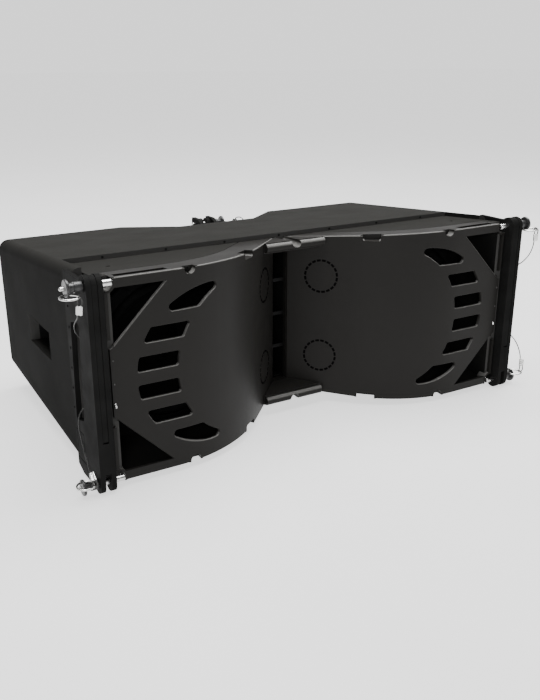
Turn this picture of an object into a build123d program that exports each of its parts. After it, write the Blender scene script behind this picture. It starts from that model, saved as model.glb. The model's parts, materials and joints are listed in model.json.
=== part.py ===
"""Dual 10-inch three-way line array cabinet with its own rigging.

Frame while modelling: X to the right, Y to the rear with 0 on the flat front of the covers,
Z up with 0 at mid height. Every node is moved to the stored frame when it is written.
"""
from build123d import *
import math
import os

# ---- driving dimensions, millimetres ---------------------------------------------------------
FRONT_HEIGHT = 290.0          # height of the front covers
HALF_WIDTH = 378.5            # side face of the cabinet
REAR_Y = 447.5                # back of the two rear humps
TAPER = 0.085                 # fall of the top face per millimetre of depth
SKIN = 7.0                    # the cabinet stands this much above the covers
WALL = 15.0                   # plywood
EDGE_R = 17.0                 # rounded long edges of the cabinet
COVER_T = 5.0                 # moulded cover wall
FLANGE_T = 4.0                # cover flange on top and bottom
FLANGE_DEPTH = 45.0           # how far that flange runs back
ARC_R = 240.0                 # plan radius from the flat front into the 45 degree flank
FLANK_SUM = 161.3             # x + y on the flank face
THROAT_X = 14.0               # half width of the central slot
RECESS_Y = 152.0              # rear line of the lowered front deck
RECESS_X = 360.0              # half width of that deck
PIN_Z = 139.0                 # height of the four front pins, above and below mid height
PIN_R = 4.75
PITCH = 307.0                 # spacing of stacked cabinets
LINK_TRAVEL = PITCH - 2 * PIN_Z
PLATE_T = 7.0                 # rigging plates
PLATE_IN = 359.5              # inner face of the inner plate
LINK_T = 7.5
GAP = 8.5                     # clear space between the two plates
PLATE_FRONT = -14.0
SEAM = 1.0                    # open joint behind the cover flange
COVER_OUT = 352.0             # outer end of the covers
CUP_X = 353.0                 # cup round each pin tip
CUP_R = 11.5
POCKET_WALL = 3.2             # wall of the cups and of the pockets behind the notches
POCKET_DEPTH = 17.0
FIT = 0.4
NOTCH_X = 232.0               # round notches in the cover's top and bottom edges
NOTCH_Z = 143.0
NOTCH_R = 8.5
EDGE_NOTCH_R = 7.0            # round notches in the cover's outer edges
WIDE_NOTCH_X = 112.5          # wide notches, on the arc
WIDE_NOTCH = 30.0
NOTCH_DROP = 9.5
CORNER_TOP = 131.0            # corner openings: rail line, diagonal x + z and outer line
CORNER_SUM = 412.0
CORNER_OUT = 346.0
BAR_W = 12.0                  # rolled edge of the diagonal
BAR_DEPTH = 15.0
BAR_ROUND = 9.5
STRIP_X = 350.0               # strips beside the corner openings
SLOT_ROUND = 1.8
DASHES = 20
DASH_RING_R = 26.5
LF_X = 228.0                  # woofer axis
LF_R = 123.0
LF_Y = 95.0                   # front of the woofer frame
MF_Z = 69.0
MF_S = 54.2                   # x of each midrange axis on the flank face
WIRE_R = 1.4                  # pull ring wire
RING_R = 12.0
CABLE_D = 1.8
REAR_PIN_Y = 425.0
REAR_PIN_Z = 108.0
FLOOR_Z = -(PIN_Z + 14.0)     # lowest point, under the clevis ears

HALF = FRONT_HEIGHT / 2
ARC_X = FLANK_SUM + (math.sqrt(2) - 1) * ARC_R
OUT_IN = PLATE_IN + PLATE_T + GAP
OUT_OUT = OUT_IN + PLATE_T
REST_Y = (REAR_Y - 2 * RING_R - WIRE_R) / 2
ORIGIN = Vector(0, REST_Y, FLOOR_Z)     # under the middle of the outline, without the lanyards

nodes = {}


def box(x0, x1, y0, y1, z0, z1):
    """Axis-aligned block from its low and high corners."""
    size = (x1 - x0, y1 - y0, z1 - z0)
    return Pos((x0 + x1) / 2, (y0 + y1) / 2, (z0 + z1) / 2) * Box(*size)


def rod_x(radius, x0, x1, y, z):
    """Cylinder along X."""
    return Pos((x0 + x1) / 2, y, z) * Rot(0, 90, 0) * Cylinder(radius, abs(x1 - x0))


def rod_y(radius, y0, y1, x, z):
    """Cylinder along Y."""
    return Pos(x, (y0 + y1) / 2, z) * Rot(90, 0, 0) * Cylinder(radius, abs(y1 - y0))


def mirror_x(shape):
    return shape.mirror(Plane.YZ)


def prism_z(face, z0=-220.0, z1=220.0):
    """Plan outline extruded through the whole height."""
    return Pos(0, 0, z0) * extrude(face, z1 - z0, dir=(0, 0, 1))


def prism_x(points, x0, x1):
    """Side outline, given as (y, z) points, extruded along X."""
    wire = Polyline(*[(x0, y, z) for y, z in points], close=True)
    return extrude(make_face(wire), x1 - x0, dir=(1, 0, 0))


def wedge(half_height, y0=-60.0, y1=520.0, half_width=420.0):
    """The tapered envelope: its half height is half_height at the front and falls with depth."""
    front = half_height - TAPER * y0
    back = half_height - TAPER * y1
    outline = [(y0, -front), (y0, front), (y1, back), (y1, -back)]
    return prism_x(outline, -half_width, half_width)


def turned(points, axis_point, direction):
    """Solid of revolution from (radius, depth) points about a line through axis_point."""
    wire = Polyline(*[(r, 0, d) for r, d in points], close=True)
    body = revolve(make_face(wire), Axis.Z)
    return Plane(origin=axis_point, z_dir=direction) * body


# ---- plan of the front covers ------------------------------------------------------------------
def cover_line(offset):
    """Right half of the cover plan, set back by offset: flat, arc and 45 degree flank."""
    radius = ARC_R - offset
    centre = Vector(ARC_X, ARC_R)
    half_turn = Vector(-math.sin(math.pi / 8), -math.cos(math.pi / 8)) * radius
    full_turn = Vector(-1, -1) * (radius / math.sqrt(2))
    return centre - Vector(0, radius), centre + half_turn, centre + full_turn


def cover_band(near, far, x_out, flank_end):
    """Plan face between two offsets of the cover line, from x_out in to the flank's end."""
    a0, a1, a2 = cover_line(near)
    b0, b1, b2 = cover_line(far)
    shift = (far - near) / math.sqrt(2)
    run = a2.X - flank_end
    a3 = Vector(a2.X - run, a2.Y + run)
    b3 = Vector(a3.X + shift, a3.Y + shift)
    edges = [
        Line((x_out, near), a0),
        ThreePointArc(a0, a1, a2),
        Line(a2, a3),
        Line(a3, b3),
        Line(b3, b2),
        ThreePointArc(b2, b1, b0),
        Line(b0, (x_out, far)),
        Line((x_out, far), (x_out, near)),
    ]
    return make_face(edges)


def forward_zone():
    """Plan of everything in front of the covers' back faces."""
    b0, b1, b2 = cover_line(COVER_T)
    end = Vector(THROAT_X + COVER_T / math.sqrt(2), 0)
    end = Vector(end.X, b2.Y + b2.X - end.X)
    edges = [
        Line((0, -60), (420, -60)),
        Line((420, -60), (420, COVER_T)),
        Line((420, COVER_T), b0),
        ThreePointArc(b0, b1, b2),
        Line(b2, end),
        Line(end, (0, end.Y)),
        Line((0, end.Y), (0, -60)),
    ]
    return make_face(edges)


# ---- cabinet -----------------------------------------------------------------------------------
REAR_IN_X = 76.0              # rear recess: floor corner
REAR_IN_Y = 366.0
REAR_OUT_X = REAR_IN_X + REAR_Y - REAR_IN_Y
KEY_R = 8.3                   # keyhole notches in the horn lips
HORN_REAR = 150.5             # the horn roof stops at the cabinet's front edge
PLATE_REAR = 80.0             # rear of the pocket for the outer rigging plate
POCKET_REAR = 66.0            # rear of the deeper pocket inside it
HANDLE = (186.0, 294.0, -20.0, 24.0)


def plan_poly(points):
    return make_face(Polyline(*[(x, y, 0) for x, y in points], close=True))


def deck_cut():
    """Lowered deck at the front of the top and bottom faces."""
    lowered = wedge(HALF + SKIN + 20) - wedge(HALF)
    return lowered & box(-RECESS_X, RECESS_X, -60, RECESS_Y, -260, 260)


def flange_slab():
    return wedge(HALF) - wedge(HALF - FLANGE_T)


def flange_right(far=FLANGE_DEPTH):
    """Top and bottom flange of the right cover, cut off at the rear line of the deck."""
    plan = cover_band(COVER_T - 1, far, 343.0, THROAT_X)
    body = prism_z(plan) & flange_slab()
    return body & box(0, 400, -5, RECESS_Y, -200, 200)


def edge_pockets(wall, depth):
    """Right-hand bosses behind the notches in the cover's edges and round the pin tips."""
    shapes = []
    for sign in (-1, 1):
        shapes.append(rod_y(CUP_R + wall, 0, depth, CUP_X, sign * PIN_Z))
        shapes.append(rod_y(NOTCH_R + wall, 0, depth, NOTCH_X, sign * NOTCH_Z))
        shapes.append(wide_notch(sign) * Box(WIDE_NOTCH + 2 * wall, 2 * (NOTCH_DROP + wall), 2 * depth))
    return shapes


def wide_notch(sign):
    """Place of the wide notch: on the arc, Z out of the cover and Y up."""
    across = ARC_X - WIDE_NOTCH_X
    along = math.sqrt(ARC_R ** 2 - across ** 2)
    edge = HALF - TAPER * (ARC_R - along)
    return Plane(origin=(WIDE_NOTCH_X, ARC_R - along, sign * edge), x_dir=(along, -across, 0),
                 z_dir=(-across, -along, 0))


def cabinet_shell():
    body = wedge(HALF + SKIN, COVER_T, REAR_Y, HALF_WIDTH)
    side_edges = [e for e in body.edges() if abs(abs(e.center().X) - HALF_WIDTH) < 1 and e.length > 300]
    body = fillet(side_edges, EDGE_R)
    behind = REAR_Y + 60
    slope = REAR_OUT_X + 60
    body -= prism_z(plan_poly([
        (-slope, behind), (-REAR_IN_X, REAR_IN_Y), (REAR_IN_X, REAR_IN_Y), (slope, behind)]))
    body -= deck_cut()
    back = REAR_Y - WALL
    floor_y = REAR_IN_Y - WALL
    floor_x = REAR_IN_X + (math.sqrt(2) - 1) * WALL
    hump_x = floor_x + back - floor_y
    side = HALF_WIDTH - WALL
    neck = PLATE_IN - WALL
    right = [(neck, -60), (neck, PLATE_REAR + WALL), (side, PLATE_REAR + WALL), (side, back),
             (hump_x, back), (floor_x, floor_y)]
    left = [(-x, y) for x, y in reversed(right)]
    cavity = prism_z(plan_poly(right + left)) & wedge(HALF + SKIN - WALL)
    body -= cavity
    zone = prism_z(forward_zone())
    body -= zone + mirror_x(zone)
    flange = flange_right(FLANGE_DEPTH + SEAM)
    body -= flange + mirror_x(flange)
    for pocket in edge_pockets(POCKET_WALL + FIT, POCKET_DEPTH + FIT):
        body -= pocket + mirror_x(pocket)
    for x in (-315, 315):
        body -= Pos(x, 88, HALF) * Cylinder(3.0, 30)
    for side_sign in (-1, 1):
        pocket = box(PLATE_IN, 400, -60, POCKET_REAR, -200, 200)
        pocket += box(OUT_IN, 400, -60, PLATE_REAR, -200, 200)
        pocket += box(RECESS_X - WALL, 400, HANDLE[0], HANDLE[1], HANDLE[2], HANDLE[3])
        body -= pocket if side_sign > 0 else mirror_x(pocket)
    body -= box(-66, -30, REAR_IN_Y - 40, REAR_IN_Y + 5, -48, 48)
    return body


def cover_slots():
    """Six slots: three bands above and three below the middle, ended by two circles."""
    crescent = Pos(198, 0) * Circle(117.5) - Pos(133, 0) * Circle(122.5)
    shapes = []
    for low, high, corner_r in ((9.8, 30.2, 3.2), (49.5, 69.8, 3.2), (88.0, 130.0, 5.5)):
        for sign in (-1, 1):
            middle = sign * (low + high) / 2
            band = crescent & (Pos(240, middle) * Rectangle(200, high - low))
            shapes += [fillet(f.vertices(), corner_r) for f in band.faces() if f.area > 100]
    return shapes


def through_cut(face, y_near=-20.0, y_far=60.0):
    """A plan drawn in X and Z, cut straight back through the cover."""
    standing = Rot(90, 0, 0) * face
    return Pos(0, y_far, 0) * extrude(standing, y_far - y_near, dir=(0, -1, 0))


def behind_front(point):
    """Distance of a point on the right behind the front surface of the cover, flank left out."""
    if point.X >= ARC_X:
        return point.Y
    return ARC_R - math.hypot(point.X - ARC_X, point.Y - ARC_R)


def front_edges(body, x0, x1, z0, z1):
    """Edges on the cover's front surface within a window of X and |Z|."""
    found = []
    for edge in body.edges():
        middle = edge.position_at(0.5)
        inside = x0 < middle.X < x1 and z0 < abs(middle.Z) < z1
        if inside and abs(behind_front(middle)) < 0.02:
            found.append(edge)
    return found


def dashed_ring():
    """Rings of short grooves in the flank face, one ring for each midrange unit."""
    cutters = []
    for z in (-MF_Z, MF_Z):
        flank = Plane(origin=(MF_S, FLANK_SUM - MF_S, z), x_dir=(1, -1, 0), z_dir=(-1, -1, 0))
        for i in range(DASHES):
            dash = Pos(DASH_RING_R, 0, 0) * Box(2.6, 5.2, 5.0)
            cutters.append(flank * Rot(0, 0, (i + 0.5) * 360.0 / DASHES) * dash)
    return cutters


def corner_bar(sign):
    """Rolled edge along the diagonal of a corner opening."""
    bar = Pos(-BAR_W / 2, BAR_DEPTH / 2, 0) * Box(BAR_W, BAR_DEPTH, 170)
    outer = [e for e in bar.edges().filter_by(Axis.Z) if e.center().X > -1 and e.center().Y < 1]
    bar = fillet(outer, BAR_ROUND)
    bar = Pos(CORNER_SUM / 2, 0, CORNER_SUM / 2) * Rot(0, -45, 0) * bar
    bar &= box(250, CORNER_OUT, -1, BAR_DEPTH + 1, 40, CORNER_TOP + 1)
    return bar if sign > 0 else bar.mirror(Plane.XY)


def front_cover():
    """Right front cover with its flange, slots, corner openings and edge notches."""
    wall = prism_z(cover_band(0, COVER_T, COVER_OUT, THROAT_X)) & wedge(HALF)
    wall = fillet([e for e in front_edges(wall, 92, 400, 100, 200) if abs(e.tangent_at(0.5).Z) < 0.5], 2.0)
    body = wall + flange_right()
    hollow = prism_z(cover_band(0.4, 60, COVER_OUT + 4, THROAT_X)) & wedge(HALF - 0.05)
    for pocket in edge_pockets(POCKET_WALL, POCKET_DEPTH):
        body += pocket & hollow
    wall_sum = CORNER_SUM - (BAR_W - 3) * math.sqrt(2)
    for sign in (-1, 1):
        top = CORNER_TOP * sign
        corner = Polyline((wall_sum - CORNER_TOP, top), (CUP_X, top), (360, top), (360, 52 * sign),
                          (wall_sum - 52, 52 * sign), close=True)
        cut = through_cut(make_face(corner), -20, COVER_T + 0.8)
        cut -= box(CORNER_OUT, 360, -30, 60, min(0, sign * 55.5), max(0, sign * 55.5))
        cut -= rod_y(CUP_R + POCKET_WALL, -30, 60, CUP_X, sign * PIN_Z)
        body -= cut
        body += corner_bar(sign)
        body += box(STRIP_X, STRIP_X + 4.5, -0.5, COVER_T, min(sign * 62, sign * 126), max(sign * 62, sign * 126))
        body -= rod_y(EDGE_NOTCH_R, -20, 30, 353.0, sign * 55.5)
        body -= rod_y(CUP_R, -20, 30, CUP_X, sign * PIN_Z)
        body -= rod_y(NOTCH_R, -20, POCKET_DEPTH - 4, NOTCH_X, sign * NOTCH_Z)
        wide = Box(WIDE_NOTCH, 2 * NOTCH_DROP, 2 * (POCKET_DEPTH - 3))
        body -= wide_notch(sign) * fillet(wide.edges().filter_by(Axis.Z), 4.0)
        body -= box(262, 336, 7, 21, min(sign * 138, sign * 150), max(sign * 138, sign * 150))
    for face in cover_slots():
        body -= through_cut(face)
    body = fillet(front_edges(body, 168, 330, 5, 119), SLOT_ROUND)
    for cutter in dashed_ring():
        body -= cutter
    return body


def centre_horn():
    """Roof, floor, rolled lips and throat cheeks between the two flank faces."""
    mouth = plan_poly([
        (-56, 105), (56, 105), (THROAT_X, FLANK_SUM - THROAT_X), (THROAT_X, HORN_REAR),
        (-THROAT_X, HORN_REAR), (-THROAT_X, FLANK_SUM - THROAT_X)])
    inner = wedge(HALF - 17)
    block = prism_z(mouth) & wedge(HALF - 0.2)
    body = block - inner
    for sign in (-1, 1):
        lip = Pos(0, 103.0, sign * 128.3) * Box(108, 13, 14)
        lip = fillet(lip.edges().filter_by(Axis.X), 6.0)
        body += lip
        body -= rod_y(KEY_R, 90, 151, 0, sign * 133.0)
        body -= box(-KEY_R, KEY_R, 90, 151, min(sign * 133, sign * 150), max(sign * 133, sign * 150))
    keep_out = prism_z(cover_band(-0.15, FLANGE_DEPTH, 343.0, THROAT_X - 0.1))
    body -= keep_out + mirror_x(keep_out)
    inset = THROAT_X - 0.3
    ties = box(-inset, inset, HORN_REAR - 3, 160, 115, 119)
    ties += box(-THROAT_X - 4, THROAT_X + 4, RECESS_Y + 0.5, 160, 115, 119)
    body += ties + ties.mirror(Plane.XY)
    cheek = box(THROAT_X, THROAT_X + 4, RECESS_Y + 0.5, 160, -117, 117)
    body += cheek + mirror_x(cheek)
    return body


# ---- inside ------------------------------------------------------------------------------------
def baffles():
    board = box(104, HALF_WIDTH - WALL, LF_Y + 6, LF_Y + 6 + WALL, -200, 200) & wedge(HALF + SKIN - WALL)
    board -= rod_y(LF_R - 15, 60, 150, LF_X, 0)
    return Compound([board, mirror_x(board)])


def braces():
    board = box(100, 115, 180, 366, -200, 200) & wedge(HALF + SKIN - WALL)
    window = box(90, 125, 215, 335, -60, 60)
    board -= fillet(window.edges().filter_by(Axis.X), 20)
    return Compound([board, mirror_x(board)])


def woofer(sign):
    """Frame, magnet, cone and surround of one 10-inch driver."""
    at = (sign * LF_X, 0, 0)
    back = (0, 1, 0)
    y = LF_Y
    frame = turned([(106.6, y), (LF_R, y), (LF_R, y + 6), (108, y + 6), (66, y + 62), (66, y + 68),
                    (22, y + 68), (22, y + 62), (62, y + 62), (102, y + 8), (106.6, y + 5)], at, back)
    for i in range(6):
        window = Pos(sign * LF_X, y + 32, 0) * Rot(0, 60 * i, 0) * Pos(84, 0, 0) * Box(40, 34, 44)
        frame -= window
    magnet = turned([(20, y + 68), (72, y + 68), (78, y + 73), (78, y + 100), (72, y + 106), (20, y + 106)], at, back)
    cone = turned([(89, y + 3), (90.5, y + 3), (26, y + 48), (26, y + 57), (24.5, y + 57), (24.5, y + 47)], at, back)
    cap = turned([(0, y + 24), (14, y + 26), (30, y + 35), (38, y + 42), (36.5, y + 42), (28, y + 36),
                  (13, y + 27.2), (0, y + 25.2)], at, back)
    roll = []
    for radius in (8.0, 7.0):
        arc = []
        for i in range(13):
            turn = math.pi * i / 12
            arc.append((98.2 - radius * math.cos(turn), y + 3 - radius * math.sin(turn)))
        roll.append(arc)
    ring = turned(roll[0] + list(reversed(roll[1])), at, back)
    return frame, magnet, cone, cap, ring


def midrange(sign):
    """Two 3.5-inch drivers behind one flank, and their cones."""
    axis = (sign, 1, 0)
    bodies = []
    cones = []
    for z in (-MF_Z, MF_Z):
        at = (sign * MF_S, FLANK_SUM - MF_S, z)
        bodies.append(turned([(38, 6), (44, 6), (44, 10), (39, 11), (26, 26), (26, 42), (8, 42), (8, 38),
                              (20, 27), (36, 11)], at, axis))
        cones.append(turned([(0, 17), (9, 19), (33, 8.6), (35.5, 8.6), (10, 21), (10, 26), (8.8, 26),
                             (8.8, 20.4), (0, 18.4)], at, axis))
    return Compound(bodies), Compound(cones)


def waveguide():
    """Four-cell high-frequency waveguide with three ribs."""
    body = box(-26, 26, 160, 262, -114, 114) & wedge(HALF - 18)
    for low, high in ((-112, -61), (-55, -3), (3, 55), (61, 112)):
        body -= box(-THROAT_X, THROAT_X, 150, 225, low, high)
    for z in (-52, 52):
        body -= rod_y(12.5, 220, 270, 0, z)
    return body


def compression_drivers():
    units = []
    for z in (-52, 52):
        units.append(turned([(12.5, 262), (36, 262), (36, 268), (45, 270), (45, 305), (38, 318), (0, 318),
                             (0, 280), (12.5, 280)], (0, 0, z), (0, 1, 0)))
    return Compound(units)


def crossover():
    board = box(115, 118, 200, 345, -72, 72)
    for y, z in ((225, 40), (320, 45), (225, -45)):
        coil = Pos(118 + 9, y, z) * Rot(0, 90, 0) * Cylinder(19, 18)
        board += coil - Pos(127, y, z) * Rot(0, 90, 0) * Cylinder(7, 18)
    for y, z in ((275, -40), (275, 0), (275, 35)):
        board += box(118, 134, y - 14, y + 14, z - 8, z + 8)
    return board


def handle_cups():
    y0, y1, z0, z1 = HANDLE
    depth = HALF_WIDTH - 60
    tub = box(depth, HALF_WIDTH - WALL, y0 - 9, y1 + 9, z0 - 9, z1 + 9)
    tub = fillet([e for e in tub.edges().filter_by(Axis.X)], 7)
    tub -= box(depth + 4, HALF_WIDTH, y0, y1, z0, z1)
    return tub


def input_panel():
    plate = box(-72, -24, REAR_IN_Y, REAR_IN_Y + 3, -58, 58)
    for z in (-26, 26):
        plate -= rod_y(12.2, REAR_IN_Y - 5, REAR_IN_Y + 8, -48, z)
    return plate


def input_sockets():
    units = []
    for z in (-26, 26):
        unit = rod_y(12, REAR_IN_Y - 30, REAR_IN_Y + 3, -48, z)
        unit += rod_y(15, REAR_IN_Y + 3, REAR_IN_Y + 5, -48, z)
        unit -= rod_y(9.5, REAR_IN_Y - 12, REAR_IN_Y + 6, -48, z)
        unit += rod_y(5, REAR_IN_Y - 13, REAR_IN_Y + 1, -48, z)
        units.append(unit)
    return Compound(units)


# ---- front rigging -----------------------------------------------------------------------------
EAR_R = 14.0
SLOT_SIDE = [(61, 76), (26, 84), (37, -60), (70, -71)]


def outer_plate():
    """Right-hand side plate with clevis ear, cable slot and flap outline."""
    outline = [(PLATE_FRONT, -PIN_Z), (PLATE_FRONT, PIN_Z), (EAR_R, PIN_Z), (EAR_R, 144),
               (79, 144), (79, -142), (58, -149.5), (EAR_R, -149.5), (EAR_R, -PIN_Z)]
    body = prism_x(outline, OUT_IN, OUT_OUT)
    for z in (-PIN_Z, PIN_Z):
        body += rod_x(EAR_R, OUT_IN, OUT_OUT, 0, z)
    slot = prism_x(SLOT_SIDE, OUT_IN - 5, OUT_OUT + 5)
    body -= fillet(slot.edges().filter_by(Axis.X), 6)
    flap = box(OUT_OUT - 0.8, OUT_OUT + 1, 44, 75, -130, -84)
    flap -= box(OUT_OUT - 2, OUT_OUT + 2, 45.2, 73.8, -128.8, -85.2)
    body -= flap
    for z in (-PIN_Z, PIN_Z):
        body -= rod_x(PIN_R + 0.1, OUT_IN - 5, OUT_OUT + 5, 0, z)
    return body


def inner_plate():
    """Right-hand inner plate, with the stop block under the link bar."""
    x1 = PLATE_IN + PLATE_T
    body = box(PLATE_IN, x1, PLATE_FRONT, 20, -PIN_Z, PIN_Z)
    for z in (-PIN_Z, PIN_Z):
        body += rod_x(EAR_R, PLATE_IN, x1, 0, z)
    body += box(x1, OUT_IN, PLATE_FRONT, 20, -122, -76)
    for z in (-PIN_Z, PIN_Z):
        body -= rod_x(PIN_R + 0.1, PLATE_IN - 5, x1 + 1, 0, z)
    return body


def link_bar():
    """Right-hand sliding link: its long slot rides on the upper pin."""
    x0 = PLATE_IN + PLATE_T + (GAP - LINK_T) / 2
    x1 = x0 + LINK_T
    front = PLATE_FRONT + 0.6
    body = box(x0, x1, front, -front, -74, PIN_Z)
    body += rod_x(-front, x0, x1, 0, PIN_Z)
    slot_r = PIN_R + 0.3
    body -= rod_x(slot_r, x0 - 1, x1 + 1, 0, PIN_Z)
    body -= rod_x(slot_r, x0 - 1, x1 + 1, 0, PIN_Z - LINK_TRAVEL)
    body -= box(x0 - 1, x1 + 1, -slot_r, slot_r, PIN_Z - LINK_TRAVEL, PIN_Z)
    return body


# ---- quick-release pins ------------------------------------------------------------------------
RING_DROP = 8.6               # ring hole in the disc, from the pin axis


def pin_parts(tip, face, y, z, ring_side):
    """Pin along +X: shaft from tip to face, grip outside face. ring_side is -1 below, +1 above."""
    shaft = rod_x(PIN_R, tip, face + 6, y, z)
    tip_edge = shaft.edges().filter_by(GeomType.CIRCLE).sort_by(Axis.X)[0]
    shaft = chamfer(tip_edge, 1.2)
    grip = rod_x(7.2, face + 0.8, face + 11, y, z)
    grip += rod_x(6.0, face + 11, face + 18.5, y, z)
    disc = rod_x(11.5, face + 18.5, face + 22.5, y, z)
    disc = fillet(disc.edges().filter_by(GeomType.CIRCLE), 1.4)
    grip += disc
    grip -= rod_x(PIN_R, face - 1, face + 6, y, z)
    grip -= rod_x(3.1, face + 15, face + 24, y, z)
    ring_z = z + ring_side * RING_DROP
    grip -= rod_x(WIRE_R + 0.7, face + 18, face + 23, y, ring_z)
    button = rod_x(2.8, face + 18.2, face + 27, y, z)
    button += Pos(face + 27, y, z) * Sphere(2.8)
    ring = Pos(face + 20.5, y - RING_R, ring_z) * Torus(RING_R, WIRE_R)
    return shaft, grip, button, ring


def lanyard(points):
    """Wire rope: straight runs joined by tangent arcs, as large as the runs allow."""
    corners = [Vector(*p) for p in points]
    radii = []
    for a, b, c in zip(corners, corners[1:], corners[2:]):
        turn = math.radians((b - a).get_angle(c - b))
        radii.append(0.45 * min((b - a).length, (c - b).length) / math.tan(turn / 2))
    path = FilletPolyline(*corners, radius=radii)
    start = Plane(origin=corners[0], z_dir=corners[1] - corners[0])
    tube = sweep(start * Circle(CABLE_D / 2), path=path)
    ideal = math.pi * (CABLE_D / 2) ** 2 * path.length
    print("lanyard radii", [round(r, 1) for r in radii], "length", round(path.length, 1),
          "volume ratio", round(tube.volume / ideal, 4))
    return tube


FACE = OUT_OUT
TIP = 343.6
RING_X = FACE + 20.5
# routes: from the pull ring to the stud that holds the fixed end
ROUTES = {
    "top_left": [(-(RING_X - 7), -21.7, PIN_Z - 9.4), (-397, -22, 116), (-395, -14, 104), (-391, 6, 94),
                 (-388, 28, 82), (-383, 42, 66), (-372, 48, 52), (-368, 46, 36), (-368, 46, 22)],
    "top_right": [(RING_X + 12, -12, PIN_Z - 9.4), (416.5, -12, 115), (420, -8, 98), (421, 0, 80),
                  (414, 12, 63), (400, 27, 54), (386, 41, 54), (372, 47, 50), (368, 46, 36), (368, 46, 22)],
    "bottom_left": [(-(RING_X - 7), -21.7, -PIN_Z + 9.4), (-394, -14, -121), (-391, 6, -114), (-389, 25, -102),
                    (-388, 38, -86), (-389, 44, -67), (-385, 46, -50), (-373, 48, -42), (-368, 46, -32),
                    (-368, 46, -20)],
    "bottom_right": [(RING_X + 12, -12, -PIN_Z + 9.4), (416.5, -12, -114), (419, -6, -98), (418, 4, -80),
                     (410, 18, -64), (397, 33, -52), (384, 44, -46), (372, 48, -42), (368, 46, -32),
                     (368, 46, -20)],
    "rear": [(50.5, REAR_PIN_Y - 12, REAR_PIN_Z - 9.4), (54, REAR_PIN_Y - 13, 106), (58, REAR_PIN_Y - 20, 117),
             (63, REAR_PIN_Y - 31, 121), (67, REAR_PIN_Y - 42, 114), (68, REAR_PIN_Y - 49, 101),
             (68, REAR_PIN_Y - 49, 88)],
}


def cable_studs():
    """Square studs that hold the fixed ends of the lanyards."""
    studs = []
    for low, high in ((12, 22), (-20, -10)):
        stud = box(PLATE_IN, PLATE_IN + 13, 41.5, 50.5, low, high)
        studs += [stud, mirror_x(stud)]
    studs.append(box(62, 72, REAR_IN_Y, REAR_IN_Y + 14, 78, 88))
    return Compound(studs)


# ---- rear rigging ------------------------------------------------------------------------------
CHEEK_IN = 11.0
CHEEK_T = 7.0


def rear_bracket():
    """Channel of two cheeks on a back plate, with a row of angle holes."""
    body = box(-22, 38, REAR_IN_Y, REAR_IN_Y + 6, -104, 104)
    cheek = prism_x([(REAR_IN_Y + 6, -100), (REAR_IN_Y + 6, 100), (REAR_PIN_Y - 12, REAR_PIN_Z + 12),
                     (REAR_PIN_Y + 12, REAR_PIN_Z + 12), (REAR_PIN_Y + 13, REAR_PIN_Z), (REAR_PIN_Y + 13, -88),
                     (REAR_PIN_Y + 4, -100)],
                    CHEEK_IN, CHEEK_IN + CHEEK_T)
    body += cheek + mirror_x(cheek)
    for z in (REAR_PIN_Z, -20.0, -45.0, -70.0):
        body -= rod_x(PIN_R + 0.1, -40, 40, REAR_PIN_Y, z)
    return body


def rear_link():
    """Sliding rear link, also slotted for its pin."""
    half = CHEEK_IN - 0.6
    body = box(-half, half, REAR_PIN_Y - 11, REAR_PIN_Y + 11, 0, REAR_PIN_Z)
    body += rod_x(11, -half, half, REAR_PIN_Y, REAR_PIN_Z)
    slot_r = PIN_R + 0.3
    body -= box(-3.8, 3.8, REAR_PIN_Y - 12, REAR_PIN_Y + 12, REAR_PIN_Z - 60, REAR_PIN_Z + 20)
    body -= rod_x(slot_r, -20, 20, REAR_PIN_Y, REAR_PIN_Z)
    body -= rod_x(slot_r, -20, 20, REAR_PIN_Y, REAR_PIN_Z - LINK_TRAVEL)
    body -= box(-20, 20, REAR_PIN_Y - slot_r, REAR_PIN_Y + slot_r, REAR_PIN_Z - LINK_TRAVEL, REAR_PIN_Z)
    return body


# ---- fasteners ---------------------------------------------------------------------------------
def rig_screws():
    """Button-head screws along the cable slot of each side plate."""
    heads = []
    for z in (96, 66, 36, 6, -24, -54):
        y = 66 - z * 0.06
        screw = rod_x(1.7, OUT_OUT - 3, OUT_OUT + 0.8, y + 8, z)
        heads += [screw, mirror_x(screw)]
    return heads


def deck_screws():
    """Screws in the step of the lowered deck, top and bottom."""
    heads = []
    for i in range(7):
        x = -300 + 100 * i
        z = HALF - TAPER * RECESS_Y + 3.4
        for sign in (-1, 1):
            heads.append(rod_y(1.8, RECESS_Y - 0.8, RECESS_Y + 6, x, sign * z))
    return heads


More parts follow.
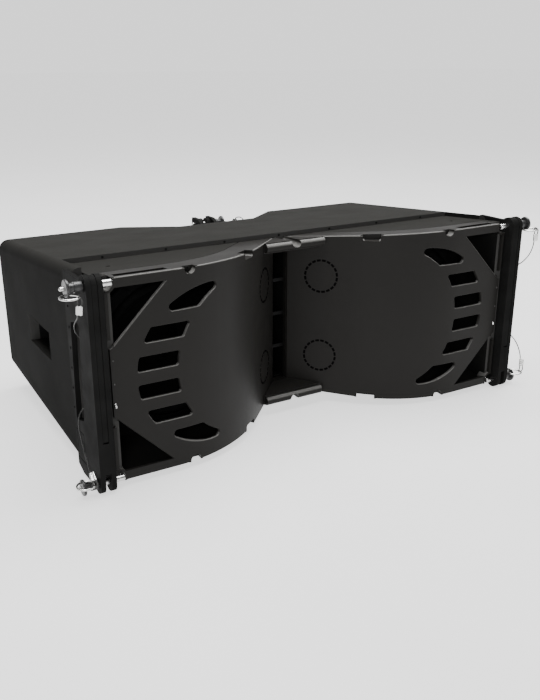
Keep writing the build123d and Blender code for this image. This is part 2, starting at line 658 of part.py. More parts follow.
# ---- assembly ----------------------------------------------------------------------------------
def build():
    shell = cabinet_shell()
    for screw in deck_screws():
        shell -= screw
    nodes["cabinet_shell"] = shell
    nodes["baffle_boards"] = baffles()
    nodes["brace_boards"] = braces()
    cover = front_cover()
    nodes["front_cover_right"] = cover
    nodes["front_cover_left"] = mirror_x(cover)
    nodes["centre_horn"] = centre_horn()
    for side, sign in (("left", -1), ("right", 1)):
        frame, magnet, cone, cap, ring = woofer(sign)
        nodes["lf_frame_" + side] = frame
        nodes["lf_magnet_" + side] = magnet
        nodes["lf_cone_" + side] = Compound([cone, cap])
        nodes["lf_surround_" + side] = ring
        bodies, cones = midrange(sign)
        nodes["mf_drivers_" + side] = bodies
        nodes["mf_cones_" + side] = cones
    nodes["hf_waveguide"] = waveguide()
    nodes["hf_drivers"] = compression_drivers()
    nodes["crossover_board"] = crossover()
    cup = handle_cups()
    nodes["handle_cup_right"] = cup
    nodes["handle_cup_left"] = mirror_x(cup)
    nodes["input_panel"] = input_panel()
    nodes["input_sockets"] = input_sockets()
    plate = outer_plate()
    for screw in rig_screws():
        if screw.center().X > 0:
            plate -= screw
    inner = inner_plate()
    link = link_bar()
    nodes["side_plate_right"] = plate
    nodes["side_plate_left"] = mirror_x(plate)
    nodes["inner_plate_right"] = inner
    nodes["inner_plate_left"] = mirror_x(inner)
    nodes["link_bar_right"] = link
    nodes["link_bar_left"] = mirror_x(link)
    nodes["case_screws"] = Compound(deck_screws() + rig_screws())
    nodes["cable_studs"] = cable_studs()
    for level, ring_side in (("top", -1), ("bottom", 1)):
        z = PIN_Z if level == "top" else -PIN_Z
        parts = pin_parts(TIP, FACE, 0, z, ring_side)
        for side in ("right", "left"):
            tag = level + "_" + side
            names = ("pin_", "pin_grip_", "pin_button_", "pull_ring_")
            for name, piece in zip(names, parts):
                nodes[name + tag] = piece if side == "right" else mirror_x(piece)
            nodes["lanyard_" + tag] = lanyard(ROUTES[tag])
    nodes["rear_bracket"] = rear_bracket()
    nodes["rear_link"] = rear_link()
    shaft, grip, button, ring = pin_parts(-24, CHEEK_IN + CHEEK_T, REAR_PIN_Y, REAR_PIN_Z, -1)
    nodes["pin_rear"] = shaft
    nodes["pin_grip_rear"] = grip
    nodes["pin_button_rear"] = button
    nodes["pull_ring_rear"] = ring
    nodes["lanyard_rear"] = lanyard(ROUTES["rear"])


if __name__ == "__main__":
    build()
    os.makedirs("parts", exist_ok=True)
    for name, shape in nodes.items():
        export_step(Pos(-ORIGIN.X, -ORIGIN.Y, -ORIGIN.Z) * shape, "parts/" + name + ".step")
    print(len(nodes), "nodes")
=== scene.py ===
"""Line array speaker: finishes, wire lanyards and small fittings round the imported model."""
import json
import math

import bmesh
import bpy
from mathutils import Matrix, Vector


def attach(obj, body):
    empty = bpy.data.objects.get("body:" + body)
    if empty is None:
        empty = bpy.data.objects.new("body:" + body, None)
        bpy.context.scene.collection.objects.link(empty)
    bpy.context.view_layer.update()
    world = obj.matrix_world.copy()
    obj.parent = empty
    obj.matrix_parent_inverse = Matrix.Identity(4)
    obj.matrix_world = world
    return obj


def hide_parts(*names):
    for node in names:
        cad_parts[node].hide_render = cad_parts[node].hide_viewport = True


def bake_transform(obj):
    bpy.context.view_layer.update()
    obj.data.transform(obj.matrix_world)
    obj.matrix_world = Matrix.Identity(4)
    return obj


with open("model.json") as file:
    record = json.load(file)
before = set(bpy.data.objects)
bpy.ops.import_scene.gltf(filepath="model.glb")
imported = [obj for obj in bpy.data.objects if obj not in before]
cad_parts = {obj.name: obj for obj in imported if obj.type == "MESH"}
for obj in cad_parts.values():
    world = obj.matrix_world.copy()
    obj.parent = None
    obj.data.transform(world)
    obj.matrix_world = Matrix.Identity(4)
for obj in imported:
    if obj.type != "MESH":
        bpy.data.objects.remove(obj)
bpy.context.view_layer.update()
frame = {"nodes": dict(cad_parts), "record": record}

SCENE = bpy.context.scene
NODES = frame["nodes"]
SLOT_OF = {part["node"]: part["material_slot"] for part in frame["record"]["subparts"]}
TO_FRAME = Vector((0.0, -0.21105, 0.153))   # from the cover-front, mid-height origin to the frame
MM = 0.001

CAMERA_PLACE = (-0.6878, -1.1698, 0.5613)
CAMERA_WAY = Vector((0.4865, 0.8049, -0.3397))
CAMERA_LENS = 41.8

HORIZON_TOP = 0.06                  # height of the bright band, as a share of the dome
HORIZON_FADE = 0.06                 # how far above that it has faded into the dome
HORIZON_GLOW = 1.4
DOME_GLOW = 0.30
LIT_POINT = (0.0, 0.0, 0.15)
SOFTBOXES = {                       # place, width, height and power in watts
    "top_light": ((0.0, 0.2, 2.6), 2.2, 2.2, 210.0),
    "left_light": ((-1.5, -2.4, 1.1), 0.8, 0.8, 26.0),
    "edge_light": ((1.75, 0.35, 2.3), 1.4, 0.9, 75.0),
}
FLOOR_HALF = 30.0
FLOOR_DROP = 0.0004                 # keeps the floor just clear of the cabinet's underside
FLOOR_GLOW = 1.25


# ---- camera and light ---------------------------------------------------------------------------
def make_camera():
    """Camera to the left of the front, looking down on it."""
    camera = bpy.data.objects.new("camera", bpy.data.cameras.new("camera"))
    SCENE.collection.objects.link(camera)
    camera.location = CAMERA_PLACE
    camera.rotation_euler = CAMERA_WAY.to_track_quat("-Z", "Y").to_euler()
    camera.data.lens = CAMERA_LENS
    camera.data.clip_start = 0.01
    SCENE.camera = camera


def softbox(name, place, width, height, power):
    """Rectangular light that points at the middle of the cabinet."""
    light = bpy.data.lights.new(name, "AREA")
    light.shape = "RECTANGLE"
    light.size = width
    light.size_y = height
    light.energy = power
    lamp = bpy.data.objects.new(name, light)
    SCENE.collection.objects.link(lamp)
    lamp.location = place
    lamp.rotation_euler = (Vector(LIT_POINT) - Vector(place)).to_track_quat("-Z", "Y").to_euler()


def light_the_studio():
    """A dim dome with a bright band at the horizon, and three softboxes."""
    world = bpy.data.worlds.new("studio")
    world.use_nodes = True
    tree = world.node_tree
    sky = tree.nodes["Background"]
    direction = tree.nodes.new("ShaderNodeTexCoord")
    split = tree.nodes.new("ShaderNodeSeparateXYZ")
    band = tree.nodes.new("ShaderNodeMapRange")
    tree.links.new(direction.outputs["Generated"], split.inputs["Vector"])
    tree.links.new(split.outputs["Z"], band.inputs["Value"])
    band.inputs["From Min"].default_value = HORIZON_TOP
    band.inputs["From Max"].default_value = HORIZON_TOP + HORIZON_FADE
    band.inputs["To Min"].default_value = HORIZON_GLOW
    band.inputs["To Max"].default_value = DOME_GLOW
    tree.links.new(band.outputs["Result"], sky.inputs["Strength"])
    sky.inputs["Color"].default_value = (1.0, 1.0, 1.0, 1.0)
    SCENE.world = world
    for name, (place, width, height, power) in SOFTBOXES.items():
        softbox(name, place, width, height, power)


def make_floor():
    """Wide pale floor with a glow of its own, so that it stays pale beside a black object."""
    mesh = bpy.data.meshes.new("floor")
    half = FLOOR_HALF
    corners = [(-half, -half, 0), (half, -half, 0), (half, half, 0), (-half, half, 0)]
    mesh.from_pydata(corners, [], [(0, 1, 2, 3)])
    floor = bpy.data.objects.new("floor", mesh)
    SCENE.collection.objects.link(floor)
    floor.location.z = -FLOOR_DROP
    paint = Finish("pale_floor", (0.30, 0.30, 0.30), 0.9, specular=0.1)
    paint.mottle(3.0, 0.015)
    paint.shader.inputs["Emission Color"].default_value = (1.0, 1.0, 1.0, 1.0)
    paint.shader.inputs["Emission Strength"].default_value = FLOOR_GLOW
    mesh.materials.append(paint.material)


# ---- finishes -----------------------------------------------------------------------------------
class Finish:
    """A node-built material: base colour and roughness, then layers of grain, mottling and bump."""

    def __init__(self, name, color, roughness, metallic=0.0, specular=0.5):
        self.material = bpy.data.materials.new(name)
        self.material.use_nodes = True
        self.tree = self.material.node_tree
        self.shader = self.tree.nodes["Principled BSDF"]
        self.color = color
        self.roughness = roughness
        self.shader.inputs["Base Color"].default_value = (*color, 1.0)
        self.shader.inputs["Roughness"].default_value = roughness
        self.shader.inputs["Metallic"].default_value = metallic
        self.shader.inputs["Specular IOR Level"].default_value = specular
        self.place = self.tree.nodes.new("ShaderNodeTexCoord").outputs["Object"]
        self.normal = None

    def link(self, source, target):
        self.tree.links.new(source, target)

    def noise(self, scale, detail=4.0, rough=0.5, stretch=(1.0, 1.0, 1.0)):
        """Fractal noise with scale features in a metre."""
        mapping = self.tree.nodes.new("ShaderNodeMapping")
        mapping.inputs["Scale"].default_value = stretch
        self.link(self.place, mapping.inputs["Vector"])
        node = self.tree.nodes.new("ShaderNodeTexNoise")
        node.inputs["Scale"].default_value = scale
        node.inputs["Detail"].default_value = detail
        node.inputs["Roughness"].default_value = rough
        self.link(mapping.outputs["Vector"], node.inputs["Vector"])
        return node.outputs["Fac"]

    def pebbles(self, scale):
        """Rounded grains of about 1 / scale metres."""
        node = self.tree.nodes.new("ShaderNodeTexVoronoi")
        node.feature = "SMOOTH_F1"
        node.inputs["Scale"].default_value = scale
        node.inputs["Smoothness"].default_value = 0.6
        self.link(self.place, node.inputs["Vector"])
        return node.outputs["Distance"]

    def remap(self, value, low, high, from_low=0.3, from_high=0.7):
        """Maps a value to low..high; the usual input range is the one that noise mostly stays in."""
        node = self.tree.nodes.new("ShaderNodeMapRange")
        node.inputs["From Min"].default_value = from_low
        node.inputs["From Max"].default_value = from_high
        node.inputs["To Min"].default_value = low
        node.inputs["To Max"].default_value = high
        self.link(value, node.inputs["Value"])
        return node.outputs["Result"]

    def mottle(self, scale, share, other=None):
        """Slow change of colour: the base one way and other (or a lighter base) the other way."""
        light = other or tuple(min(1.0, c * (1.0 + 6.0 * share) + share * 0.02) for c in self.color)
        mix = self.tree.nodes.new("ShaderNodeMix")
        mix.data_type = "RGBA"
        mix.inputs["A"].default_value = (*self.color, 1.0)
        mix.inputs["B"].default_value = (*light, 1.0)
        self.link(self.remap(self.noise(scale), 0.0, 1.0), mix.inputs["Factor"])
        self.link(mix.outputs["Result"], self.shader.inputs["Base Color"])

    def paint_light_facing(self, axis, color, low, high, level_too=True):
        """Painted light by direction: a second colour, none where the normal's share of axis is low, all of
        it at high.

        Without level_too, faces that look straight along the axis keep the first colour.
        """
        split = self.tree.nodes.new("ShaderNodeSeparateXYZ")
        self.link(self.tree.nodes.new("ShaderNodeNewGeometry").outputs["Normal"], split.inputs["Vector"])
        amount = self.remap(split.outputs[axis], 0.0, 1.0, low, high)
        if not level_too:
            keep = self.tree.nodes.new("ShaderNodeMath")
            keep.operation = "MULTIPLY"
            self.link(amount, keep.inputs[0])
            self.link(self.remap(split.outputs[axis], 1.0, 0.0, 0.95, 0.99), keep.inputs[1])
            amount = keep.outputs[0]
        mix = self.tree.nodes.new("ShaderNodeMix")
        mix.data_type = "RGBA"
        self.link(self.shader.inputs["Base Color"].links[0].from_socket, mix.inputs["A"])
        mix.inputs["B"].default_value = (*color, 1.0)
        self.link(amount, mix.inputs["Factor"])
        self.link(mix.outputs["Result"], self.shader.inputs["Base Color"])

    def smudge(self, scale, spread):
        """Uneven gloss, as handling and dust leave it."""
        low, high = self.roughness - spread, self.roughness + spread
        value = self.remap(self.noise(scale, 5.0, 0.6), low, high)
        self.link(value, self.shader.inputs["Roughness"])

    def bump(self, height, depth, strength=1.0):
        """Relief of depth metres from a 0 to 1 height."""
        node = self.tree.nodes.new("ShaderNodeBump")
        node.inputs["Distance"].default_value = depth
        node.inputs["Strength"].default_value = strength
        self.link(height, node.inputs["Height"])
        if self.normal is not None:
            self.link(self.normal, node.inputs["Normal"])
        self.normal = node.outputs["Normal"]
        self.link(self.normal, self.shader.inputs["Normal"])


def cabinet_inside():
    """The same coating on the boards behind the covers, thinner and duller."""
    paint = Finish("cabinet_inside", (0.0094, 0.0094, 0.0090), 0.60, specular=0.003)
    paint.mottle(5.0, 0.012)
    paint.bump(paint.pebbles(520.0), 0.00018, 0.5)
    return paint.material


def cabinet_coating():
    """Hard sprayed coating: pebbled, satin, slightly uneven.

    It has painted light: it is lighter on faces that look up, and lighter still on those that look
    forward, such as the step of the deck.
    """
    paint = Finish("cabinet_coating", (0.0094, 0.0094, 0.0090), 0.50, specular=0.003)
    paint.mottle(5.0, 0.012)
    # painted light: faces that look up are made lighter
    paint.paint_light_facing("Z", (0.0150, 0.0148, 0.0138), 0.3, 0.95)
    # painted light: faces that look forward are made lighter still
    paint.paint_light_facing("Y", (0.0420, 0.0415, 0.0400), -0.7, -0.95)
    paint.smudge(14.0, 0.04)
    paint.bump(paint.pebbles(520.0), 0.00018, 0.5)
    paint.bump(paint.noise(1500.0), 0.00006, 0.4)
    return paint.material


def moulded_cover():
    """Structural foam moulding with a fine spark-eroded grain, and a painted highlight on edges that slope
    upward.
    """
    plastic = Finish("moulded_cover", (0.0112, 0.0106, 0.0098), 0.40, specular=0.08)
    plastic.mottle(6.0, 0.015)
    # painted highlight: edges that slope upward, but not level tops, are made much lighter
    plastic.paint_light_facing("Z", (0.100, 0.098, 0.094), 0.12, 0.55, level_too=False)
    plastic.smudge(11.0, 0.05)
    plastic.bump(plastic.noise(1300.0, 3.0), 0.00009, 0.55)
    return plastic.material


def birch_ply():
    """Raw plywood: long grain on the faces and dark glue lines through the edge."""
    wood = Finish("birch_ply", (0.42, 0.30, 0.18), 0.6)
    wood.mottle(60.0, 0.1, (0.30, 0.20, 0.11))
    wood.bump(wood.noise(300.0, 6.0, 0.6, (1.0, 0.15, 8.0)), 0.0002)
    return wood.material


def powder_coat():
    """Powder coated rigging steel with faint orange peel and rubbed patches."""
    paint = Finish("powder_coat", (0.0072, 0.0072, 0.0070), 0.40, specular=0.004)
    paint.mottle(22.0, 0.06)
    paint.smudge(40.0, 0.08)
    paint.bump(paint.noise(700.0, 2.0), 0.00012, 0.5)
    return paint.material


def bright_steel():
    """Stainless steel with fine turning marks along the pins."""
    steel = Finish("bright_steel", (0.66, 0.66, 0.65), 0.24, metallic=1.0)
    steel.mottle(180.0, 0.02, (0.50, 0.50, 0.49))
    steel.smudge(260.0, 0.08)
    steel.bump(steel.noise(900.0, 4.0, 0.6, (6.0, 0.4, 0.4)), 0.00003, 0.5)
    return steel.material


def grip_black():
    """Blackened steel grip: dark, slightly worn to grey."""
    metal = Finish("grip_black", (0.012, 0.012, 0.0125), 0.32, specular=0.4)
    metal.mottle(240.0, 0.1, (0.026, 0.026, 0.026))
    metal.smudge(160.0, 0.1)
    metal.bump(metal.noise(1600.0), 0.00004, 0.6)
    return metal.material


def cast_basket():
    """Painted die casting of the woofer frames."""
    metal = Finish("cast_basket", (0.004, 0.004, 0.0042), 0.45, specular=0.03)
    metal.mottle(90.0, 0.08)
    metal.smudge(70.0, 0.08)
    metal.bump(metal.noise(1100.0), 0.00012, 0.6)
    return metal.material


def pulp_cone():
    """Pressed paper pulp with short fibres."""
    paper = Finish("pulp_cone", (0.004, 0.004, 0.0043), 0.75, specular=0.03)
    paper.mottle(500.0, 0.12, (0.007, 0.0068, 0.0065))
    paper.bump(paper.noise(900.0, 8.0, 0.7), 0.00015, 0.7)
    return paper.material


def doped_roll():
    """Coated cloth surround with a close weave."""
    cloth = Finish("doped_roll", (0.003, 0.003, 0.003), 0.60, specular=0.04)
    cloth.mottle(120.0, 0.08)
    cloth.bump(cloth.pebbles(1400.0), 0.0001, 0.6)
    return cloth.material


def wire_rope():
    """Galvanised strands with grease darkening the grooves."""
    wire = Finish("wire_rope", (0.07, 0.07, 0.068), 0.36, metallic=0.7)
    wire.mottle(600.0, 0.1, (0.03, 0.03, 0.029))
    wire.smudge(700.0, 0.1)
    wire.bump(wire.noise(2500.0), 0.00002, 0.5)
    return wire.material


def circuit_board():
    """Solder resist over faint copper areas."""
    board = Finish("circuit_board", (0.02, 0.10, 0.045), 0.38)
    board.mottle(140.0, 0.2, (0.05, 0.17, 0.07))
    board.bump(board.noise(400.0), 0.00005)
    return board.material


def socket_plastic():
    """Smooth dark moulding of the input sockets."""
    plastic = Finish("socket_plastic", (0.018, 0.018, 0.024), 0.28)
    plastic.mottle(110.0, 0.05)
    plastic.smudge(90.0, 0.06)
    plastic.bump(plastic.noise(1400.0), 0.00003, 0.5)
    return plastic.material


def groove_shade_black():
    """Painted shade: dull black strips that stand in for the shade in the grooves of the dashed rings."""
    filler = Finish("groove_shade_black", (0.0012, 0.0012, 0.0012), 0.85, specular=0.005)
    filler.mottle(200.0, 0.02)
    filler.bump(filler.noise(1800.0), 0.00004, 0.5)
    return filler.material


def horn_black():
    """Matt moulding inside the horn and the hand holes."""
    plastic = Finish("horn_black", (0.0035, 0.0035, 0.0035), 0.60, specular=0.08)
    plastic.mottle(18.0, 0.06)
    plastic.smudge(30.0, 0.05)
    plastic.bump(plastic.noise(1200.0), 0.00008, 0.5)
    return plastic.material


FINISHES = {
    "cabinet": cabinet_coating, "moulding": moulded_cover, "board": birch_ply, "rig_steel": powder_coat,
    "bright_steel": bright_steel, "grip_black": grip_black, "basket": cast_basket, "cone": pulp_cone,
    "surround": doped_roll, "cable": wire_rope, "electronics": circuit_board, "socket": socket_plastic,
    "cabinet_inside": cabinet_inside, "horn_black": horn_black, "groove_shade_black": groove_shade_black,
}


BEHIND_COVERS = ("baffle_boards",)  # boards of the cabinet that take the duller coat


def finish_cad_nodes(finishes):
    """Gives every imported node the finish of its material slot."""
    for name, node in NODES.items():
        node.data.materials.clear()
        finish = "cabinet_inside" if name in BEHIND_COVERS else SLOT_OF[name]
        node.data.materials.append(finishes[finish])


# ---- wire lanyards ------------------------------------------------------------------------------
# Points run from the pull ring to the stud, in metres from the cover-front, mid-height origin.
ROUTES = {
    "top_left": [
        (-0.3955, -0.0217, 0.1296), (-0.397, -0.022, 0.116), (-0.395, -0.014, 0.104), (-0.391, 0.006, 0.094),
        (-0.388, 0.028, 0.082), (-0.383, 0.042, 0.066), (-0.372, 0.048, 0.052), (-0.368, 0.046, 0.036),
        (-0.368, 0.046, 0.022)],
    "top_right": [
        (0.4145, -0.012, 0.1296), (0.4165, -0.012, 0.115), (0.420, -0.008, 0.098), (0.421, 0.0, 0.080),
        (0.414, 0.012, 0.063), (0.400, 0.027, 0.054), (0.386, 0.041, 0.054), (0.372, 0.047, 0.050),
        (0.368, 0.046, 0.036), (0.368, 0.046, 0.022)],
    "bottom_left": [
        (-0.3955, -0.0217, -0.1296), (-0.394, -0.014, -0.121), (-0.391, 0.006, -0.114),
        (-0.389, 0.025, -0.102), (-0.388, 0.038, -0.086), (-0.389, 0.044, -0.067),
        (-0.385, 0.046, -0.050), (-0.373, 0.048, -0.042), (-0.368, 0.046, -0.032), (-0.368, 0.046, -0.020)],
    "bottom_right": [
        (0.4145, -0.012, -0.1296), (0.4165, -0.012, -0.114), (0.419, -0.006, -0.098), (0.418, 0.004, -0.080),
        (0.410, 0.018, -0.064), (0.397, 0.033, -0.052), (0.384, 0.044, -0.046), (0.372, 0.048, -0.042),
        (0.368, 0.046, -0.032), (0.368, 0.046, -0.020)],
    "rear": [
        (0.0505, 0.413, 0.0986), (0.054, 0.412, 0.106), (0.058, 0.405, 0.117), (0.063, 0.394, 0.121),
        (0.067, 0.383, 0.114), (0.068, 0.376, 0.101), (0.068, 0.376, 0.088)],
}
ROPE_D = 0.0018
STRANDS = 6
CORE_R = 0.20 * ROPE_D
STRAND_R = 0.165 * ROPE_D
STRAND_OUT = 0.335 * ROPE_D         # strand centres from the rope's axis
LAY_LENGTH = 0.009                  # one turn of a strand
ROPE_STEP = 0.0009
WIRE_SIDES = 6                      # of the core and of each strand
FLAT_WAY = Vector((0.86, -0.51, 0.0))   # the way the two barrels of a crimp lie side by side
FRONT_SPLIT = 0.42                  # where the two spans of a lanyard meet, as a share of its length
REAR_SPLIT = 0.5
SLEEVE_START = 0.0085               # crimp sleeve below the ring
SLEEVE_LENGTH = 0.0125
BARREL_R = 0.0021
WEB = 0.0012                        # half thickness between the barrels
END_SLEEVE = 0.009                  # the sleeve on the stud
STUD_GAP = 0.001                    # rope left bare beyond it
SLEEVE_SLICES = 24
SLEEVE_SIDES = 28
PINCHES = 3
PINCH_DEPTH = 0.12
RIM_SHARE = 0.84                    # size of a sleeve's ends, rising to full size at RIM_RISE
RIM_RISE = 4.0
EYE_LOOP = ((0.4, -1.4), (-2.8, -0.8), (-2.8, 2.8), (1.5, 6.0), (5.5, 5.6))   # mm down the rope and across it
EYE_TUCK = 0.002                    # how far the returned end runs into the sleeve


def smooth_line(name, points):
    """The route's spline, read back as closely spaced points."""
    curve = bpy.data.curves.new(name, "CURVE")
    curve.dimensions = "3D"
    curve.resolution_u = 16
    spline = curve.splines.new("NURBS")
    spline.points.add(len(points) - 1)
    for point, place in zip(spline.points, points):
        point.co = (*(Vector(place) + TO_FRAME), 1.0)
    spline.order_u = 3
    spline.use_endpoint_u = True
    holder = bpy.data.objects.new(name, curve)
    SCENE.collection.objects.link(holder)
    bpy.context.view_layer.update()
    line = [v.co.copy() for v in bpy.data.meshes.new_from_object(holder).vertices]
    bpy.data.objects.remove(holder)
    bpy.data.curves.remove(curve)
    return line


def distances(line):
    """How far along the line each of its points is."""
    along = [0.0]
    for a, b in zip(line, line[1:]):
        along.append(along[-1] + (b - a).length)
    return along


def cut(line, start, end):
    """The stretch of a line between two distances along it."""
    along = distances(line)

    def at(distance):
        for i in range(len(line) - 1):
            if along[i + 1] >= distance:
                share = (distance - along[i]) / max(along[i + 1] - along[i], 1e-9)
                return line[i].lerp(line[i + 1], share)
        return line[-1].copy()

    inner = [p for p, d in zip(line, along) if start + 1e-5 < d < end - 1e-5]
    return [at(start), *inner, at(end)]


def frames(line):
    """A steady pair of cross directions at each point of a line, starting as near FLAT_WAY as they can."""
    side = FLAT_WAY
    found = []
    for i, point in enumerate(line):
        before = line[max(i - 1, 0)]
        after = line[min(i + 1, len(line) - 1)]
        tangent = (after - before).normalized()
        side = (side - tangent * side.dot(tangent)).normalized()
        found.append((point, side, tangent.cross(side)))
    return found


def tube(bm, line, radius, sides, twist=0.0, offset=0.0, phase=0.0):
    """Sweeps a closed tube along a line; with an offset it winds round the line as a strand."""
    along = distances(line)
    rings = []
    for (point, side, up), distance in zip(frames(line), along):
        turn = phase + twist * distance
        centre = point + (side * math.cos(turn) + up * math.sin(turn)) * offset
        ring = []
        for i in range(sides):
            angle = 2.0 * math.pi * i / sides
            out = side * (radius * math.cos(angle)) + up * (radius * math.sin(angle))
            ring.append(bm.verts.new(centre + out))
        rings.append(ring)
    for low, high in zip(rings, rings[1:]):
        for i in range(sides):
            j = (i + 1) % sides
            bm.faces.new((low[i], low[j], high[j], high[i]))
    bm.faces.new(list(reversed(rings[0])))
    bm.faces.new(rings[-1])


def resampled(line, step):
    """The line again, with points an even distance of about step apart."""
    total = distances(line)[-1]
    count = max(2, round(total / step))
    return [cut(line, 0.0, max(total * i / count, 1e-4))[-1] for i in range(count + 1)]


def add_piece(name, bm, material, smooth=True):
    """Turns a finished bmesh into an object of the scene."""
    mesh = bpy.data.meshes.new(name)
    bmesh.ops.recalc_face_normals(bm, faces=bm.faces)
    bm.to_mesh(mesh)
    bm.free()
    for face in mesh.polygons:
        face.use_smooth = smooth
    mesh.materials.append(material)
    piece = bpy.data.objects.new(name, mesh)
    SCENE.collection.objects.link(piece)
    return piece


def rope(name, line, material):
    """Strands laid round a core."""
    bm = bmesh.new()
    fine = resampled(line, ROPE_STEP)
    tube(bm, fine, CORE_R, WIRE_SIDES)
    twist = 2.0 * math.pi / LAY_LENGTH
    for strand in range(STRANDS):
        tube(bm, fine, STRAND_R, WIRE_SIDES, twist, STRAND_OUT, 2.0 * math.pi * strand / STRANDS)
    return add_piece(name, bm, material)


def sleeve(name, line, start, length, material):
    """Two-barrel crimp round the rope and the returned end of its eye, pressed in at PINCHES places."""
    bm = bmesh.new()
    stretch = resampled(cut(line, start, start + length), length / SLEEVE_SLICES)
    along = distances(stretch)
    rings = []
    sides = SLEEVE_SIDES
    for (point, side, up), distance in zip(frames(stretch), along):
        share = distance / along[-1]
        pinch = 1.0 - PINCH_DEPTH * math.sin(PINCHES * math.pi * share) ** 2
        rim = min(1.0, RIM_SHARE + RIM_RISE * min(share, 1.0 - share))
        ring = []
        for i in range(sides):
            angle = 2.0 * math.pi * (i + 0.5) / sides
            wide = 2.0 * BARREL_R * math.cos(angle)
            deep = math.sqrt(max(BARREL_R ** 2 - (abs(wide) - BARREL_R) ** 2, 0.0))
            if abs(wide) < BARREL_R:
                deep = max(deep, WEB)
            deep = math.copysign(deep * pinch, math.sin(angle))
            out = side * (wide * rim + BARREL_R) + up * (deep * rim)
            ring.append(bm.verts.new(point + out))
        rings.append(ring)
    for low, high in zip(rings, rings[1:]):
        for i in range(sides):
            j = (i + 1) % sides
            bm.faces.new((low[i], low[j], high[j], high[i]))
    bm.faces.new(list(reversed(rings[0])))
    bm.faces.new(rings[-1])
    return add_piece(name, bm, material)


def eye(name, line, material):
    """The rope's returned end: over the ring wire and back down into the sleeve."""
    point, side, _ = frames(cut(line, 0.0, SLEEVE_START))[0]
    foot, foot_side, _ = frames(cut(line, 0.0, SLEEVE_START + EYE_TUCK))[-1]
    down = (foot - point).normalized()
    loop = [point + down * (fall * MM) + side * (across * MM) for fall, across in EYE_LOOP]
    loop.append(foot + foot_side * 2.0 * BARREL_R)
    bent = [p - TO_FRAME for p in loop]
    return rope(name, smooth_line(name + "_line", bent), material)


def make_lanyards(finishes):
    """Each lanyard in two spans that meet end to end, since a bending mesh follows one joint only."""
    for tag, points in ROUTES.items():
        line = smooth_line("route_" + tag, points)
        total = distances(line)[-1]
        half = total * (REAR_SPLIT if tag == "rear" else FRONT_SPLIT)
        upper = cut(line, 0.0, half)
        lower = cut(line, half, total)
        pin, ring = "release_pin_" + tag, "pull_ring_" + tag
        top = rope("lanyard_rope_" + tag, upper, finishes["cable"])
        tail = rope("lanyard_tail_" + tag, lower, finishes["cable"])
        for piece in (top, tail):
            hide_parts("lanyard_" + tag)
        steel = finishes["bright_steel"]
        ring_sleeve = sleeve("ring_sleeve_" + tag, line, SLEEVE_START, SLEEVE_LENGTH, steel)
        loop = eye("ring_eye_" + tag, line, finishes["cable"])
        stud_sleeve = sleeve("stud_sleeve_" + tag, line, total - END_SLEEVE - STUD_GAP, END_SLEEVE, steel)
        for piece, body, slot in ((ring_sleeve, ring, "bright_steel"), (loop, ring, "cable"),
                                  (stud_sleeve, "cabinet", "bright_steel")):
            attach(piece, body)
        cut(line, 0.0, SLEEVE_START + SLEEVE_LENGTH)[-1]
        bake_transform(top)
        cut(line, 0.0, total - END_SLEEVE)[-1]
        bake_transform(tail)


# ---- small fittings on the covers ---------------------------------------------------------------
# Places are in metres from the cover-front, mid-height origin; x is mirrored for the left side.
FORWARD = (0, -1, 0)
TURNED_SIDES = 24
SCREW_PROFILE = (                   # radius and height of a domed head with a hollow in its top, mm
    (0.0, -1.0), (2.4, -1.0), (2.5, 0.2), (2.2, 0.8), (1.5, 1.15), (1.05, 1.2), (0.95, 1.1), (0.9, 0.35),
    (0.0, 0.3))
COVER_SCREW_X = 0.3485
COVER_SCREW_Y = -0.0002
COVER_SCREW_HEIGHTS = (0.033, 0.0)
COVER_SCREW_SIZE = 0.50             # share of SCREW_PROFILE
NOTCH_SCREW_X = 0.232
NOTCH_SCREW_Y = 0.0130
NOTCH_SCREW_HEIGHTS = {"top": 0.1400, "bottom": -0.1400}
NOTCH_SCREW_SIZE = 1.5
TAB_X = 0.3490
TAB_HEIGHT = -0.0310
TAB_SIZE = (0.0038, 0.0040, 0.0070)
TAB_LEAN = 0.0016                   # how far its upper front edge is pushed back
TAB_ROUND = 0.0009
DASHES = 20                         # grooves in each dashed ring
DASH_RING_R = 0.0265
DASH_X = 0.0542                     # ring centres on the flank faces
DASH_Y = 0.1071
DASH_Z = 0.069
DASH_WIDTH = 0.0034
DASH_LENGTH = 0.0062
DASH_DEPTH = 0.0006
DASH_ROUND = 0.0002


def turned(bm, profile, centre, axis):
    """Closed solid of revolution from (radius, height) points, the first and last on the axis."""
    turn = Vector((0.0, 0.0, 1.0)).rotation_difference(Vector(axis)).to_matrix()
    sides = TURNED_SIDES
    rings = []
    for radius, height in profile:
        if radius == 0.0:
            rings.append([bm.verts.new(centre + turn @ Vector((0.0, 0.0, height)))])
            continue
        ring = []
        for i in range(sides):
            angle = 2.0 * math.pi * i / sides
            place = Vector((radius * math.cos(angle), radius * math.sin(angle), height))
            ring.append(bm.verts.new(centre + turn @ place))
        rings.append(ring)
    for low, high in zip(rings, rings[1:]):
        for i in range(sides):
            j = (i + 1) % sides
            corners = [low[i % len(low)], low[j % len(low)], high[j % len(high)], high[i % len(high)]]
            bm.faces.new(list(dict.fromkeys(corners)))   # a ring of one point gives triangles


def screw_head(name, x, y, z, size, material):
    """Domed head that looks forward, on the cabinet body."""
    bm = bmesh.new()
    profile = [(radius * MM * size, height * MM * size) for radius, height in SCREW_PROFILE]
    turned(bm, profile, Vector((x, y, z)) + TO_FRAME, FORWARD)
    piece = add_piece(name, bm, material)
    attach(piece, "cabinet")
    return piece


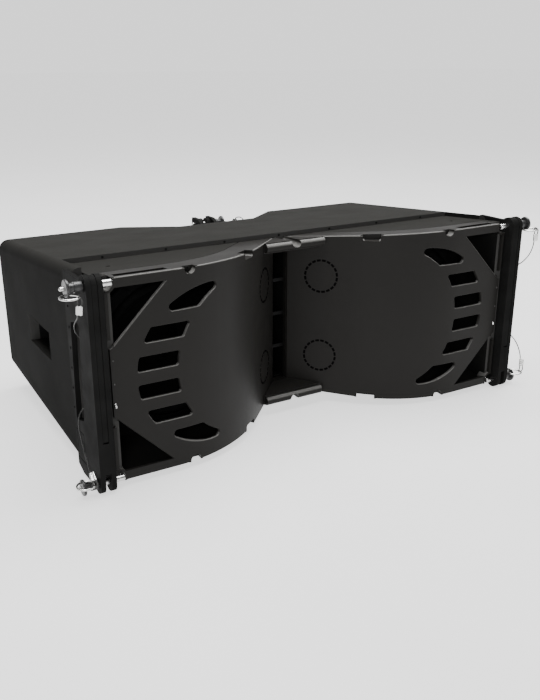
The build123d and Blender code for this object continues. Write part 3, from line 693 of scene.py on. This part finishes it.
def cover_tab(name, x, z, material):
    """Small leaning tab with rounded edges, beside the cover's outer edge."""
    bm = bmesh.new()
    bmesh.ops.create_cube(bm, size=1.0)
    bmesh.ops.scale(bm, vec=TAB_SIZE, verts=bm.verts)
    tip = [v for v in bm.verts if v.co.z > 0 and v.co.y < 0]
    bmesh.ops.translate(bm, vec=(0.0, TAB_LEAN, 0.0), verts=tip)
    bmesh.ops.bevel(bm, geom=list(bm.edges), offset=TAB_ROUND, segments=3, affect="EDGES")
    bmesh.ops.translate(bm, vec=Vector((x, 0.0, z)) + TO_FRAME, verts=bm.verts)
    piece = add_piece(name, bm, material)
    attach(piece, "cabinet")
    return piece


def make_fittings(finishes):
    """Screws and tabs on the outer edges of the covers, and screws in the round notches."""
    for side, sign in (("left", -1.0), ("right", 1.0)):
        for number, z in enumerate(COVER_SCREW_HEIGHTS):
            head = screw_head(f"cover_screw_{side}_{number}", sign * COVER_SCREW_X, COVER_SCREW_Y, z,
                              COVER_SCREW_SIZE, finishes["cable"])
        tab = cover_tab(f"cover_tab_{side}", sign * TAB_X, TAB_HEIGHT, finishes["bright_steel"])
        for level, z in NOTCH_SCREW_HEIGHTS.items():
            head = screw_head(f"notch_screw_{level}_{side}", sign * NOTCH_SCREW_X, NOTCH_SCREW_Y, z,
                              NOTCH_SCREW_SIZE, finishes["rig_steel"])


def make_dash_shade_strips(finishes):
    """Painted shade: black strips over the rings of short grooves, a little wider and prouder than the
    grooves, standing in for the shade inside them.
    """
    for side, sign in (("left", -1.0), ("right", 1.0)):
        bm = bmesh.new()
        out = Vector((-sign, -1.0, 0.0)).normalized()
        along = Vector((sign, -1.0, 0.0)).normalized()
        up = Vector((0.0, 0.0, 1.0))
        for height in (-DASH_Z, DASH_Z):
            centre = Vector((sign * DASH_X, DASH_Y, height)) + TO_FRAME
            for i in range(DASHES):
                angle = 2.0 * math.pi * (i + 0.5) / DASHES
                ray = along * math.cos(angle) + up * math.sin(angle)
                way = out.cross(ray)
                strip = bmesh.ops.create_cube(bm, size=1.0)["verts"]
                turn = Matrix((ray, way, out)).transposed().to_4x4()
                place = Matrix.Translation(centre + ray * DASH_RING_R)
                shape = Matrix.Diagonal((DASH_WIDTH, DASH_LENGTH, DASH_DEPTH, 1.0))
                bmesh.ops.transform(bm, matrix=place @ turn @ shape, verts=strip)
        bmesh.ops.bevel(bm, geom=list(bm.edges), offset=DASH_ROUND, segments=2, affect="EDGES")
        # painted shade: these black strips stand in for the shade in the grooves
        fills = add_piece("dash_shade_strips_" + side, bm, finishes["groove_shade_black"], smooth=False)
        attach(fills, "cabinet")


# ---- the whole scene ----------------------------------------------------------------------------
made = {slot: build() for slot, build in FINISHES.items()}
make_camera()
light_the_studio()
make_floor()
finish_cad_nodes(made)
make_lanyards(made)
make_fittings(made)
make_dash_shade_strips(made)
